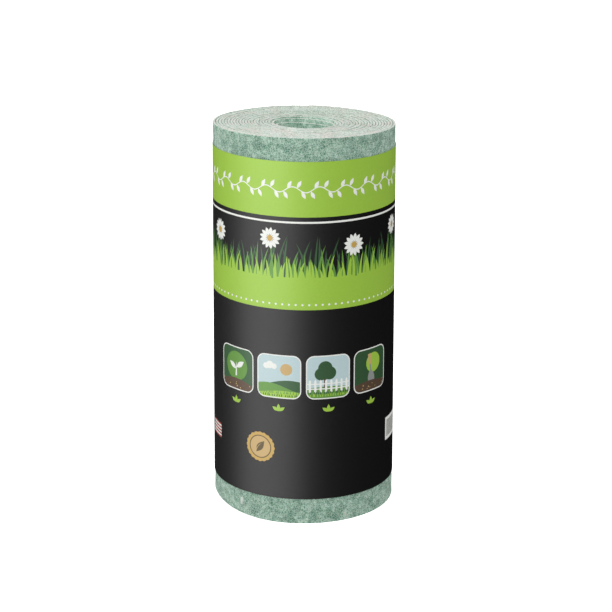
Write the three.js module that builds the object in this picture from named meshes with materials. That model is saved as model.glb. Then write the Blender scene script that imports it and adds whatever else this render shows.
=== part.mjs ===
// A roll of grass seed mat: one long sheet of seeded fibre felt wound on itself round an open bore,
// standing on its end and kept closed by a printed wrap label.
// Millimetres, +Z up. The origin is on the floor at the middle of the roll, and the roll's front faces -Y.

import * as THREE from "three";

// The mat.
const rollHeight = 457.2;
const matThickness = 3.175;
const turnCount = 23;
const boreDiameter = 68;
// Every second turn lies this far inside the roll's ends, so that the turns show as rings.
const turnStagger = 0.8;
// The innermost turns have worked loose and slid down the bore, each further than the one outside it.
const looseTurnCount = 2;
const looseTurnSlip = 3;

// The label.
const labelThickness = 0.35;
const labelClearance = 0.3;
const bareMatAboveLabel = 25;
const bareMatBelowLabel = 30;
const labelLapLength = 20;

// How finely the round surfaces are divided.
const rollFacets = 48;
const labelFacets = 96;

const boreRadius = boreDiameter / 2;
const rollRadius = boreRadius + turnCount * matThickness;

// Turns are counted from 0 at the bore to turnCount - 1 at the outside.
function turnInnerRadius(turn) {
  return boreRadius + turn * matThickness;
}

// How far the turn lies inside either end of the roll. The outermost turn is flush.
function staggerOfTurn(turn) {
  const turnsFromOutside = turnCount - 1 - turn;
  return turnsFromOutside % 2 === 0 ? 0 : turnStagger;
}

// How far a loose inner turn has slid down from the upper end.
function slipOfTurn(turn) {
  return Math.max(0, looseTurnCount - turn) * looseTurnSlip;
}

// The two corners of one turn's cut edge, from its outer face to its inner face.
function turnEdge(turn, height) {
  return [
    new THREE.Vector2(turnInnerRadius(turn + 1), height),
    new THREE.Vector2(turnInnerRadius(turn), height),
  ];
}

// The wound sheet as a turned solid: up the outside, in across the turns of the upper end, down the
// bore, and out again across the turns of the foot.
function makeMatRoll() {
  const turns = Array.from({ length: turnCount }, (_, turn) => turn);
  const foot = turns.flatMap((turn) => turnEdge(turn, staggerOfTurn(turn)).reverse());
  const upperEnd = [...turns]
    .reverse()
    .flatMap((turn) => turnEdge(turn, rollHeight - staggerOfTurn(turn) - slipOfTurn(turn)));
  const profile = [...upperEnd, ...foot];
  profile.push(profile[0].clone());

  const geometry = new THREE.LatheGeometry(profile, rollFacets);
  // The lathe turns its profile about Y; the roll stands along Z.
  geometry.rotateX(Math.PI / 2);
  const felt = new THREE.MeshStandardMaterial({ color: 0x8fac9c, roughness: 0.95, metalness: 0 });
  const mesh = new THREE.Mesh(geometry, felt);
  mesh.name = "mat_roll";
  return mesh;
}

// Points along an arc about the roll's axis, both ends included.
function arcPoints(radius, startAngle, endAngle, steps) {
  return Array.from({ length: steps + 1 }, (_, step) => {
    const angle = startAngle + ((endAngle - startAngle) * step) / steps;
    return new THREE.Vector2(radius * Math.cos(angle), radius * Math.sin(angle));
  });
}

// The label as a sleeve one sheet thick, and two sheets thick where its ends are glued in a lap at the back.
function makeLabelSleeve() {
  const innerRadius = rollRadius + labelClearance;
  const sheetRadius = innerRadius + labelThickness;
  const lapRadius = sheetRadius + labelThickness;
  const lapAngle = labelLapLength / sheetRadius;
  const lapStart = (Math.PI - lapAngle) / 2;
  const lapEnd = lapStart + lapAngle;
  const fullTurn = 2 * Math.PI;
  const lapFacets = Math.max(1, Math.round((labelFacets * lapAngle) / fullTurn));

  const outline = new THREE.Shape([
    ...arcPoints(lapRadius, lapStart, lapEnd, lapFacets),
    ...arcPoints(sheetRadius, lapEnd, lapStart + fullTurn, labelFacets - lapFacets),
  ]);
  // Starts at the front, where the roll's own facets have a corner too, and leaves out the repeated last point.
  const insideFace = arcPoints(innerRadius, -Math.PI / 2, (3 * Math.PI) / 2, labelFacets).slice(0, -1);
  outline.holes.push(new THREE.Path(insideFace));

  const labelHeight = rollHeight - bareMatAboveLabel - bareMatBelowLabel;
  const geometry = new THREE.ExtrudeGeometry(outline, { depth: labelHeight, bevelEnabled: false });
  const printedPaper = new THREE.MeshStandardMaterial({ color: 0x2b2729, roughness: 0.4, metalness: 0 });
  const mesh = new THREE.Mesh(geometry, printedPaper);
  mesh.name = "label_sleeve";
  mesh.position.z = bareMatBelowLabel;
  return mesh;
}

const grassSeedMatRoll = new THREE.Group();
grassSeedMatRoll.add(makeMatRoll(), makeLabelSleeve());

export default grassSeedMatRoll;
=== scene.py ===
"""Looks of a roll of grass seed mat on its end: the wound felt, its loose fibres and husks, and its label.

Sizes in the classes are millimetres. Meshes are made in metres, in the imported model's own frame: +Z up, the
origin on the floor at the middle of the roll, the roll's front facing -Y.
"""

from __future__ import annotations

import logging
import math
import random
from dataclasses import dataclass, field
from enum import Enum

import bpy
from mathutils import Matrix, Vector, geometry, noise


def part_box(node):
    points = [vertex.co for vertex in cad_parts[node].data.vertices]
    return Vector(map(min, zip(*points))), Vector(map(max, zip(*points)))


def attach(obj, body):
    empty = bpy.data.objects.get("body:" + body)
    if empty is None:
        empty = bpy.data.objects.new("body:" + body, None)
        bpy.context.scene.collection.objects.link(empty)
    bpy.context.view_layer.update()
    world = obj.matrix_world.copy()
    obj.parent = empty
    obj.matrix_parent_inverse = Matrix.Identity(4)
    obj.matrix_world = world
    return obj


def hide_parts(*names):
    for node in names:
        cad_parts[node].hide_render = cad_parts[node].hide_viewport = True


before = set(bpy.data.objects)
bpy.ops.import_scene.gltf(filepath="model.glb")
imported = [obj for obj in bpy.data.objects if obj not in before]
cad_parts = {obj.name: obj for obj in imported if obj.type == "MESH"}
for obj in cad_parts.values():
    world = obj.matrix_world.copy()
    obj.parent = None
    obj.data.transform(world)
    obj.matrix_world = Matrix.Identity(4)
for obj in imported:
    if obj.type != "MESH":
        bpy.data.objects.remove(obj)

MM = 0.001
BODY = "root"
MAT_NODE = "mat_roll"
LABEL_NODE = "label_sleeve"
MAT_SLOT = "green_fibre_mat"
LABEL_SLOT = "printed_label"
# The roll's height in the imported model, mm.
ROLL_HEIGHT = 457.2
# The roll is wound looser towards its foot: how much wider it is there and how much narrower at its upper
# end, as shares of its radius.
FOOT_SPREAD = 0.017
TOP_DRAW = 0.008
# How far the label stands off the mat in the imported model, mm.
LABEL_CLEARANCE = 0.3
LOG = logging.getLogger("grass_seed_mat_roll")

Point = tuple[float, float]
Triple = tuple[float, float, float]
Rgba = tuple[float, float, float, float]
# The four numbers of a Map Range node: where its input starts and ends, and what it gives at either end.
Span = tuple[float, float, float, float]


def linear_colour(hex_code: str) -> Rgba:
    """Turns an sRGB hex colour into linear RGBA.

    Args:
        hex_code: six hex digits, such as "8fac9c".

    Returns:
        Linear red, green, blue and an alpha of 1.
    """
    channels = [int(hex_code[i : i + 2], 16) / 255 for i in (0, 2, 4)]
    linear = [c / 12.92 if c <= 0.04045 else ((c + 0.055) / 1.055) ** 2.4 for c in channels]
    return (linear[0], linear[1], linear[2], 1.0)


def add_node(
    tree: bpy.types.NodeTree, kind: str, settings: dict | None = None, inputs: dict | None = None
) -> bpy.types.Node:
    """Adds a shader node with its settings and its inputs.

    Args:
        tree: the node tree that takes the node.
        kind: Blender's name of the node type.
        settings: the node's own properties, by name.
        inputs: by input name or number, either a plain value or the output socket that is linked to it.

    Returns:
        The new node.
    """
    node = tree.nodes.new(kind)
    for name, value in (settings or {}).items():
        setattr(node, name, value)
    for name, value in (inputs or {}).items():
        if isinstance(value, bpy.types.NodeSocket):
            tree.links.new(value, node.inputs[name])
        else:
            node.inputs[name].default_value = value
    return node


def empty_material(name: str) -> tuple[bpy.types.Material, bpy.types.NodeTree]:
    """Makes a material with an empty node tree.

    Args:
        name: the material's name.

    Returns:
        The material and its tree.
    """
    material = bpy.data.materials.new(name)
    material.use_nodes = True
    material.node_tree.nodes.clear()
    return material, material.node_tree


# Numbers of the Mix node's factor, of its inputs and output for colours, and of its inputs for plain numbers.
MIX_FACTOR, MIX_A, MIX_B, MIX_RESULT = 0, 6, 7, 2
MIX_NUMBER_A, MIX_NUMBER_B = 2, 3


@dataclass(frozen=True)
class AirlaidFeltFace:
    """The faces of the mat: dyed wood fibre, airlaid and pressed. It reads as matt, pale green clumps of pulp
    over a darker green ground, with single pale fibres and a fine, dry grain."""

    name: str = "airlaid_wood_fibre_felt_face"
    ground: str = "5d9177"
    clump: str = "b4d3c0"
    pale_fibre: str = "dfede2"
    deep_patch: str = "467a60"
    patch_mm: float = 10.0
    clump_mm: float = 4.6
    grain_mm: float = 1.1
    fibre_mm: float = 2.6
    roughness: float = 0.95
    # How far the clumps, the grain and the fibres are bent out of their even pattern, mm.
    bend_mm: float = 1.6
    # Each layer's stretch of its own pattern, and how much of the layer shows at either end of it.
    deep_span: Span = (0.36, 0.50, 1.0, 0.0)
    pulp_span: Span = (0.52, 0.66, 0.0, 0.45)
    clump_span: Span = (0.15, 0.62, 1.0, 0.0)
    grain_span: Span = (0.40, 0.60, -0.88, 0.84)
    fibre_span: Span = (0.02, 0.09, 0.62, 0.0)
    deep_strength: float = 0.7
    # Which stretch of the endless mottling lies on this roll, mm.
    lay: Triple = (-27.0, 6.0, 70.0)

    def build(self) -> bpy.types.Material:
        """Makes the material.

        Returns:
            The finished material.
        """
        material, tree = empty_material(self.name)
        on_roll = add_node(tree, "ShaderNodeTexCoord").outputs["Object"]
        place = add_node(
            tree,
            "ShaderNodeVectorMath",
            {"operation": "ADD"},
            {0: on_roll, 1: tuple(shift * MM for shift in self.lay)},
        ).outputs[0]
        wander = add_node(
            tree,
            "ShaderNodeTexNoise",
            inputs={"Vector": place, "Scale": 1 / (self.clump_mm * MM), "Detail": 1.0},
        )
        bent = add_node(
            tree,
            "ShaderNodeVectorMath",
            {"operation": "MULTIPLY_ADD"},
            {0: wander.outputs["Color"], 1: (self.bend_mm * MM,) * 3, 2: place},
        ).outputs[0]
        patches = add_node(
            tree,
            "ShaderNodeTexNoise",
            inputs={"Vector": place, "Scale": 1 / (self.patch_mm * MM), "Detail": 2.0, "Roughness": 0.55},
        )
        clumps = add_node(
            tree,
            "ShaderNodeTexVoronoi",
            {"feature": "SMOOTH_F1"},
            {"Vector": bent, "Scale": 1 / (self.clump_mm * MM), "Smoothness": 0.6},
        )
        grain = add_node(
            tree,
            "ShaderNodeTexNoise",
            inputs={"Vector": bent, "Scale": 1 / (self.grain_mm * MM), "Detail": 3.0, "Roughness": 0.65},
        )
        fibres = add_node(
            tree,
            "ShaderNodeTexVoronoi",
            {"feature": "DISTANCE_TO_EDGE"},
            {"Vector": bent, "Scale": 1 / (self.fibre_mm * MM)},
        )
        deep_share = add_node(
            tree, "ShaderNodeMapRange", inputs=dict(enumerate((patches.outputs[0], *self.deep_span)))
        )
        clump_share = add_node(
            tree, "ShaderNodeMapRange", inputs=dict(enumerate((clumps.outputs[0], *self.clump_span)))
        )
        grain_share = add_node(
            tree, "ShaderNodeMapRange", inputs=dict(enumerate((grain.outputs[0], *self.grain_span)))
        )
        fibre_share = add_node(
            tree, "ShaderNodeMapRange", inputs=dict(enumerate((fibres.outputs[0], *self.fibre_span)))
        )
        pulp_share = add_node(
            tree, "ShaderNodeMapRange", inputs=dict(enumerate((patches.outputs[0], *self.pulp_span)))
        )
        clumped = add_node(
            tree,
            "ShaderNodeMath",
            {"operation": "ADD"},
            {0: clump_share.outputs[0], 1: pulp_share.outputs[0]},
        )
        tone = add_node(
            tree,
            "ShaderNodeMath",
            {"operation": "ADD", "use_clamp": True},
            {0: clumped.outputs[0], 1: grain_share.outputs[0]},
        )
        body = add_node(
            tree,
            "ShaderNodeMix",
            {"data_type": "RGBA"},
            {
                MIX_FACTOR: tone.outputs[0],
                MIX_A: linear_colour(self.ground),
                MIX_B: linear_colour(self.clump),
            },
        )
        faded_deep_share = add_node(
            tree,
            "ShaderNodeMath",
            {"operation": "MULTIPLY"},
            {0: deep_share.outputs[0], 1: self.deep_strength},
        )
        patched = add_node(
            tree,
            "ShaderNodeMix",
            {"data_type": "RGBA"},
            {
                MIX_FACTOR: faded_deep_share.outputs[0],
                MIX_A: body.outputs[MIX_RESULT],
                MIX_B: linear_colour(self.deep_patch),
            },
        )
        fibred = add_node(
            tree,
            "ShaderNodeMix",
            {"data_type": "RGBA"},
            {
                MIX_FACTOR: fibre_share.outputs[0],
                MIX_A: patched.outputs[MIX_RESULT],
                MIX_B: linear_colour(self.pale_fibre),
            },
        )
        relief = add_node(
            tree,
            "ShaderNodeMath",
            {"operation": "ADD"},
            {0: tone.outputs[0], 1: fibre_share.outputs[0]},
        )
        bump = add_node(
            tree,
            "ShaderNodeBump",
            inputs={"Strength": 0.55, "Distance": 0.5 * MM, "Height": relief.outputs[0]},
        )
        shader = add_node(
            tree,
            "ShaderNodeBsdfPrincipled",
            inputs={
                "Base Color": fibred.outputs[MIX_RESULT],
                "Roughness": self.roughness,
                "Specular IOR Level": 0.25,
                "Sheen Weight": 0.15,
                "Sheen Roughness": 0.6,
                "Normal": bump.outputs[0],
            },
        )
        add_node(tree, "ShaderNodeOutputMaterial", inputs={"Surface": shader.outputs[0]})
        return material


@dataclass(frozen=True)
class SlitFeltEdge:
    """The mat's edges, slit through the felt. The knife opens undyed fibre, so the eye sees a pale grey green
    with soft specks and a faint warm cast here and there."""

    name: str = "slit_wood_fibre_felt_edge"
    pale: str = "d7dad3"
    warm: str = "d9cfcb"
    speck: str = "8fa699"
    cast_mm: float = 22.0
    # Felt fibres are finer than this; the specks are drawn as coarse as they need to be to show.
    speck_mm: float = 1.9
    # The cast's and the specks' stretch of their patterns, and how much of them shows at either end of it.
    cast_span: Span = (0.42, 0.62, 0.0, 0.8)
    speck_span: Span = (0.34, 0.54, 0.9, 0.0)
    roughness: float = 0.95

    def build(self) -> bpy.types.Material:
        """Makes the material.

        Returns:
            The finished material.
        """
        material, tree = empty_material(self.name)
        place = add_node(tree, "ShaderNodeTexCoord").outputs["Object"]
        cast = add_node(
            tree,
            "ShaderNodeTexNoise",
            inputs={"Vector": place, "Scale": 1 / (self.cast_mm * MM), "Detail": 2.0},
        )
        specks = add_node(
            tree,
            "ShaderNodeTexNoise",
            inputs={"Vector": place, "Scale": 1 / (self.speck_mm * MM), "Detail": 3.0, "Roughness": 0.6},
        )
        cast_share = add_node(
            tree, "ShaderNodeMapRange", inputs=dict(enumerate((cast.outputs[0], *self.cast_span)))
        )
        speck_share = add_node(
            tree, "ShaderNodeMapRange", inputs=dict(enumerate((specks.outputs[0], *self.speck_span)))
        )
        ground = add_node(
            tree,
            "ShaderNodeMix",
            {"data_type": "RGBA"},
            {
                MIX_FACTOR: cast_share.outputs[0],
                MIX_A: linear_colour(self.pale),
                MIX_B: linear_colour(self.warm),
            },
        )
        specked = add_node(
            tree,
            "ShaderNodeMix",
            {"data_type": "RGBA"},
            {
                MIX_FACTOR: speck_share.outputs[0],
                MIX_A: ground.outputs[MIX_RESULT],
                MIX_B: linear_colour(self.speck),
            },
        )
        bump = add_node(
            tree,
            "ShaderNodeBump",
            inputs={"Strength": 0.5, "Distance": 0.35 * MM, "Height": specks.outputs[0]},
        )
        shader = add_node(
            tree,
            "ShaderNodeBsdfPrincipled",
            inputs={
                "Base Color": specked.outputs[MIX_RESULT],
                "Roughness": self.roughness,
                "Specular IOR Level": 0.25,
                "Normal": bump.outputs[0],
            },
        )
        add_node(tree, "ShaderNodeOutputMaterial", inputs={"Surface": shader.outputs[0]})
        return material


@dataclass(frozen=True)
class LooseFibre:
    """A strand of wood fibre or a seed husk: dull and dry, a little lighter or darker along its length."""

    name: str
    hue: str
    shade: str
    length_mm: float = 3.0
    shade_span: Span = (0.35, 0.65, 0.0, 1.0)

    def build(self) -> bpy.types.Material:
        """Makes the material.

        Returns:
            The finished material.
        """
        material, tree = empty_material(self.name)
        place = add_node(tree, "ShaderNodeTexCoord").outputs["Object"]
        variation = add_node(
            tree,
            "ShaderNodeTexNoise",
            inputs={"Vector": place, "Scale": 1 / (self.length_mm * MM), "Detail": 2.0},
        )
        share = add_node(
            tree, "ShaderNodeMapRange", inputs=dict(enumerate((variation.outputs[0], *self.shade_span)))
        )
        colour = add_node(
            tree,
            "ShaderNodeMix",
            {"data_type": "RGBA"},
            {
                MIX_FACTOR: share.outputs[0],
                MIX_A: linear_colour(self.hue),
                MIX_B: linear_colour(self.shade),
            },
        )
        shader = add_node(
            tree,
            "ShaderNodeBsdfPrincipled",
            inputs={
                "Base Color": colour.outputs[MIX_RESULT],
                "Roughness": 0.85,
                "Specular IOR Level": 0.3,
            },
        )
        add_node(tree, "ShaderNodeOutputMaterial", inputs={"Surface": shader.outputs[0]})
        return material


class Ink(Enum):
    """The printing inks of the label, each with its sRGB colour, and the bare paper of its cut edges."""

    CHARCOAL = "110f10"
    LIME = "9dc83a"
    LEAF_GREEN = "5f9436"
    DEEP_GREEN = "2f5a32"
    WHITE = "eef0ea"
    GREY = "8f9490"
    SKY = "bcd3d6"
    SOIL = "5b4534"
    STRAW = "c9a86a"
    GOLD = "c8a24c"
    OLIVE = "5a4a20"
    RED = "a63a34"
    PAPER = "e6e3dc"


@dataclass(frozen=True)
class SatinPrintedPaper:
    """Offset ink on satin coated paper. The coating gives a broad, soft highlight over flat, even colour; the
    paper under it keeps the ink from being perfectly even."""

    ink: Ink
    roughness: float = 0.52
    coated_paper_ior: float = 1.5
    mottle_mm: float = 2.4
    mottle_depth: float = 0.06
    # The stretch of the mottle over which the roughness swings, and how far it swings to either side.
    mottle_stretch: tuple[float, float] = (0.3, 0.7)
    roughness_swing: float = 0.03
    waviness_mm: float = 70.0

    def build(self) -> bpy.types.Material:
        """Makes the material.

        Returns:
            The finished material.
        """
        material, tree = empty_material(f"satin_paper_{self.ink.name.lower()}_ink")
        place = add_node(tree, "ShaderNodeTexCoord").outputs["Object"]
        mottle = add_node(
            tree,
            "ShaderNodeTexNoise",
            inputs={"Vector": place, "Scale": 1 / (self.mottle_mm * MM), "Detail": 3.0},
        )
        waves = add_node(
            tree,
            "ShaderNodeTexNoise",
            inputs={"Vector": place, "Scale": 1 / (self.waviness_mm * MM), "Detail": 1.0},
        )
        hue = linear_colour(self.ink.value)
        lighter = tuple(min(1.0, c * (1 + self.mottle_depth)) for c in hue[:3]) + (1.0,)
        darker = tuple(c * (1 - self.mottle_depth) for c in hue[:3]) + (1.0,)
        colour = add_node(
            tree,
            "ShaderNodeMix",
            {"data_type": "RGBA"},
            {MIX_FACTOR: mottle.outputs[0], MIX_A: darker, MIX_B: lighter},
        )
        least_rough = self.roughness - self.roughness_swing
        most_rough = self.roughness + self.roughness_swing
        gloss = add_node(
            tree,
            "ShaderNodeMapRange",
            inputs=dict(enumerate((mottle.outputs[0], *self.mottle_stretch, least_rough, most_rough))),
        )
        wave_bump = add_node(
            tree,
            "ShaderNodeBump",
            inputs={"Strength": 0.25, "Distance": 1.2 * MM, "Height": waves.outputs[0]},
        )
        grain_bump = add_node(
            tree,
            "ShaderNodeBump",
            inputs={
                "Strength": 0.08,
                "Distance": 0.05 * MM,
                "Height": mottle.outputs[0],
                "Normal": wave_bump.outputs[0],
            },
        )
        shader = add_node(
            tree,
            "ShaderNodeBsdfPrincipled",
            inputs={
                "Base Color": colour.outputs[MIX_RESULT],
                "Roughness": gloss.outputs[0],
                "IOR": self.coated_paper_ior,
                "Normal": grain_bump.outputs[0],
            },
        )
        add_node(tree, "ShaderNodeOutputMaterial", inputs={"Surface": shader.outputs[0]})
        return material


@dataclass
class MeshDraft:
    """Corners, faces and each face's material number of one mesh that is being made. Corners are metres."""

    corners: list[Triple] = field(default_factory=list)
    faces: list[tuple[int, ...]] = field(default_factory=list)
    slots: list[int] = field(default_factory=list)

    def add_face(self, corners: tuple[int, ...], slot: int = 0) -> None:
        """Adds one face from the numbers of its corners."""
        self.faces.append(corners)
        self.slots.append(slot)

    def make(self, name: str, materials: list[bpy.types.Material]) -> bpy.types.Object:
        """Turns the draft into an object in the scene.

        Args:
            name: the piece's name.
            materials: its materials, in the order that the faces' numbers mean.

        Returns:
            The new object, smooth shaded.
        """
        mesh = bpy.data.meshes.new(name)
        mesh.from_pydata(self.corners, [], self.faces)
        for material in materials:
            mesh.materials.append(material)
        mesh.polygons.foreach_set("material_index", self.slots)
        mesh.polygons.foreach_set("use_smooth", [True] * len(self.faces))
        mesh.update()
        piece = bpy.data.objects.new(name, mesh)
        bpy.context.scene.collection.objects.link(piece)
        return piece


def around(radius: float, angle: float, height: float) -> Triple:
    """Gives a place on the roll, in metres.

    Args:
        radius: distance from the roll's axis, mm.
        angle: radians from the front, growing towards +X.
        height: mm above the floor.

    Returns:
        The place as x, y and z.
    """
    spread = 1 + FOOT_SPREAD - (FOOT_SPREAD + TOP_DRAW) * height / ROLL_HEIGHT
    reach = radius * spread * MM
    return (reach * math.sin(angle), -reach * math.cos(angle), height * MM)


def outward(angle: float) -> Triple:
    """Unit normal of the roll's round side at an angle from the front, radians."""
    return (math.sin(angle), -math.cos(angle), 0.0)


def smooth_step(share: float) -> float:
    """Eases a share from 0 to 1, flat at both ends and outside them."""
    share = min(1.0, max(0.0, share))
    return share * share * (3 - 2 * share)


def wobble(x: float, y: float, z: float, size: float) -> float:
    """Gives smooth noise of about -1 to 1 whose bumps are about size apart, in the units of x, y and z."""
    return noise.noise((x / size, y / size, z / size))


@dataclass
class WoundMat:
    """The mat: one strip of felt wound on itself, from its inner end in the bore to its tail at the back.

    Turns are counted from the tail inwards, so turn 0 to 1 is the one that shows round the roll.
    """

    height: float
    outer_radius: float
    label_bottom: float
    label_top: float
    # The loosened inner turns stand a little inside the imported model's bore.
    bore_radius: float = 30.6
    turn_count: int = 23
    # Turns from the tail to the strip's inner end, which lies at the bore's near right.
    inner_end: float = 22.455
    felt_thickness: float = 3.16
    tail_angle: float = math.radians(177)
    # The strip climbs over its own tail within this share of a turn.
    climb_share: float = 0.08
    # How much of its step inwards the innermost turn makes evenly all the way round, and not at the climb.
    spiral_share: float = 0.6
    # The innermost turns have come loose and lean into the bore: over how many turns, how fast that grows
    # towards the inner end, and how far all round.
    leaning_turns: float = 2.4
    lean_growth: float = 1.5
    lean_all_round: float = 0.1
    # They lean furthest at the left and at the front's right: how far, at which angle, and how narrowly.
    lean_left: float = 3.4
    lean_left_angle: float = math.radians(-87)
    lean_left_focus: float = 9.0
    lean_right: float = 4.4
    lean_right_angle: float = math.radians(8)
    lean_right_focus: float = 5.0
    # They have slid down the bore as well, most at the inner end and at the back: over how many turns, how
    # far, how fast that grows, its mean share round the roll, and how much more of it the back has.
    loose_turns: float = 1.9
    loose_slip: float = 8.4
    slip_growth: float = 1.15
    slip_mean: float = 0.65
    slip_at_back: float = 0.35
    # The foot's outermost turns ride up at the left: how far, where, how narrowly, and over how many turns.
    foot_lift: float = 8.4
    lift_angle: float = math.radians(-90)
    lift_focus: float = 3.6
    lifted_turns: float = 6.0
    # The winding is a little askew, so its upper end stands higher at the left.
    askew: float = 2.0
    # The outer turns stand higher at the back too: how far, how narrowly, and over how many turns.
    back_rise: float = 1.25
    back_focus: float = 6.0
    risen_turns: float = 14.0
    # The upper end is slightly dished: the innermost turn lies this much lower than the outermost.
    dish: float = 1.3
    # How far a cut edge may lie inside the roll's end: by slow drift, at every other turn, and by raggedness.
    stagger_drift: float = 0.55
    stagger_every_other: float = 0.35
    stagger_ragged: float = 0.2
    # How far the cut edge's corners are rounded and its crest is frayed.
    edge_round: float = 0.85
    fray: float = 0.10
    # Depth and spacing of the felt's clumps and of its grain, and how far its face is pressed in.
    clump_relief: tuple[float, float] = (0.20, 6.5)
    grain_relief: tuple[float, float] = (0.13, 2.7)
    face_inset: float = 0.25
    # Sections a turn inside the roll and on the outermost turn, and the spacing of that turn's rows.
    stations_inside: int = 118
    stations_outside: int = 600
    row_spacing: float = 1.25
    # The rows start this far inside the rims and end this far behind the label's edges. Where the foot rides
    # up, the rows pressed together there stay apart by shares of the last distance.
    row_margin: float = 1.6
    under_label: float = 3.0
    row_creep: float = 0.3

    # Across the felt, from its inner face (-0.5) to its outer face (0.5), and how far each point of the cut
    # edge lies below its crest, as a share of edge_round.
    EDGE_PROFILE = (
        (-0.5, 1.0),
        (-0.41, 0.3),
        (-0.22, 0.06),
        (0.0, 0.0),
        (0.22, 0.06),
        (0.41, 0.3),
        (0.5, 1.0),
    )
    FACE, CUT_EDGE, BACK = 0, 1, 2

    @property
    def pitch(self) -> float:
        """Distance from one turn to the next, mm."""
        return (self.outer_radius - self.bore_radius) / self.turn_count

    def angle(self, turn: float) -> float:
        """Angle from the front at a place along the strip, radians."""
        return self.tail_angle - 2 * math.pi * turn

    def face_radius(self, turn: float) -> float:
        """Radius of the felt's outer face at a place along the strip.

        Args:
            turn: turns inwards from the tail.

        Returns:
            The radius in mm. The outer turns stay round and climb just past the tail; the inner ones spiral.
        """
        whole = math.floor(turn)
        rest = turn - whole
        climb = smooth_step((rest - (1 - self.climb_share)) / self.climb_share)
        spiral = self.spiral_share * turn / self.turn_count
        steps = whole + (1 - spiral) * climb + spiral * rest
        return self.outer_radius - self.pitch * steps - self.looseness(turn)

    def looseness(self, turn: float) -> float:
        """Gives how far the strip leans into the bore.

        Args:
            turn: turns inwards from the tail.

        Returns:
            The lean in mm, nothing in all but the innermost turns.
        """
        share = self.towards_inner_end(turn, self.leaning_turns) ** self.lean_growth
        if share == 0.0:
            return 0.0
        left = self.lean_left * self.facing(turn, self.lean_left_angle) ** self.lean_left_focus
        right = self.lean_right * self.facing(turn, self.lean_right_angle) ** self.lean_right_focus
        return share * (self.lean_all_round + left + right)

    def slip(self, turn: float) -> float:
        """Gives how far the strip has slid down from the upper end.

        Args:
            turn: turns inwards from the tail.

        Returns:
            The slip in mm, nothing in all but the innermost turns.
        """
        away = self.slip_mean - self.slip_at_back * math.cos(self.angle(turn))
        return self.loose_slip * self.towards_inner_end(turn, self.loose_turns) ** self.slip_growth * away

    def lift(self, turn: float) -> float:
        """How far the foot's cut edge stands off the floor at a place along the strip, mm."""
        near = self.facing(turn, self.lift_angle) ** self.lift_focus
        return self.foot_lift * near * max(0.0, 1 - turn / self.lifted_turns)

    def facing(self, turn: float, angle: float) -> float:
        """How squarely a place along the strip faces an angle: 1 at the angle, 0 from a right angle away."""
        return max(0.0, math.cos(self.angle(turn) - angle))

    def towards_inner_end(self, turn: float, turns: float) -> float:
        """How near a place is to the inner end: 1 at the end, 0 from a number of turns away."""
        return max(0.0, 1 - (self.inner_end - turn) / turns)

    def tilt(self, angle: float) -> float:
        """How much higher the askew upper end stands at an angle from the front, mm."""
        return self.askew * (0.5 - 0.5 * math.sin(angle))

    def stagger(self, turn: float, end: int) -> float:
        """How far the cut edge lies inside the roll's end, mm.

        Args:
            turn: turns inwards from the tail.
            end: 0 for the foot, 1 for the upper end.

        Returns:
            Nearly nothing at the outermost turn, and up to about a millimetre further in.
        """
        # How many bumps of drift and of raggedness a turn has, and how far apart the two ends read the noise.
        drift_pace, drift_apart = 1.9, 7.3
        ragged_pace, ragged_apart = 40, 3.1
        drift = 0.5 + 0.5 * wobble(turn * drift_pace, end * drift_apart, 0.0, 1.0)
        every_other = 0.5 - 0.5 * math.cos(math.pi * turn)
        aside = math.sin(self.angle(turn)) * 9
        ragged = 0.5 + 0.5 * wobble(turn * ragged_pace, aside, end * ragged_apart, 1.0)
        flush_turns, easing_turns = 0.9, 1.2
        past_outermost = smooth_step((turn - flush_turns) / easing_turns)
        inside = self.stagger_drift * drift + self.stagger_every_other * every_other
        return past_outermost * inside + self.stagger_ragged * ragged

    def pressed_relief(self, place: Triple) -> float:
        """Gives the height of the felt's clumps and grain on its face.

        Args:
            place: where on the face, metres.

        Returns:
            The height in mm, below nothing in the hollows.
        """
        x, y, z = (c / MM for c in place)
        layers = (self.clump_relief, self.grain_relief)
        return sum(depth * wobble(x, y, z, spacing) for depth, spacing in layers)

    def face_rows(self) -> list[float]:
        """Spreads rows of corners over the two bare bands of the outer face.

        Returns:
            The rows' heights in mm, from the upper end down.
        """
        bands = (
            (self.height - self.row_margin, self.label_top - self.under_label),
            (self.label_bottom + self.under_label, self.row_margin),
        )
        rows = []
        for top, bottom in bands:
            steps = round((top - bottom) / self.row_spacing)
            rows += [top + (bottom - top) * step / steps for step in range(steps + 1)]
        return rows

    def section(self, turn: float, rows: list[float]) -> list[Triple]:
        """Corners of the strip's section at one place along it.

        Args:
            turn: turns inwards from the tail.
            rows: heights of extra corners on the outer face, from the upper end down.

        Returns:
            The corners in order: the upper cut edge outwards, the outer face down, the foot's edge inwards.
        """
        angle = self.angle(turn)
        outer = self.face_radius(turn)
        at_back = max(0.0, -math.cos(angle)) ** self.back_focus * max(0.0, 1 - turn / self.risen_turns)
        raised = self.tilt(angle) + self.back_rise * at_back
        dished = self.dish * (turn / self.turn_count) ** 2
        top = self.height + raised - dished - self.stagger(turn, 1) - self.slip(turn)
        bottom = self.stagger(turn, 0) + self.lift(turn)
        middle = outer - self.felt_thickness / 2
        fray_pace = 130
        corners = []
        for across, drop in self.EDGE_PROFILE:
            fray = self.fray * wobble(turn * fray_pace, across * 5, 1.7, 1.0)
            radius = middle + across * self.felt_thickness
            corners.append(around(radius, angle, top - drop * self.edge_round + fray))
        for level in rows:
            height = max(level, bottom + self.edge_round + self.row_creep * level / self.label_bottom)
            height = min(height, top - self.edge_round)
            relief = self.pressed_relief(around(outer, angle, height))
            corners.append(around(outer - self.face_inset + relief, angle, height))
        for across, drop in reversed(self.EDGE_PROFILE):
            radius = middle + across * self.felt_thickness
            corners.append(around(radius, angle, bottom + drop * self.edge_round))
        return corners

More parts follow.
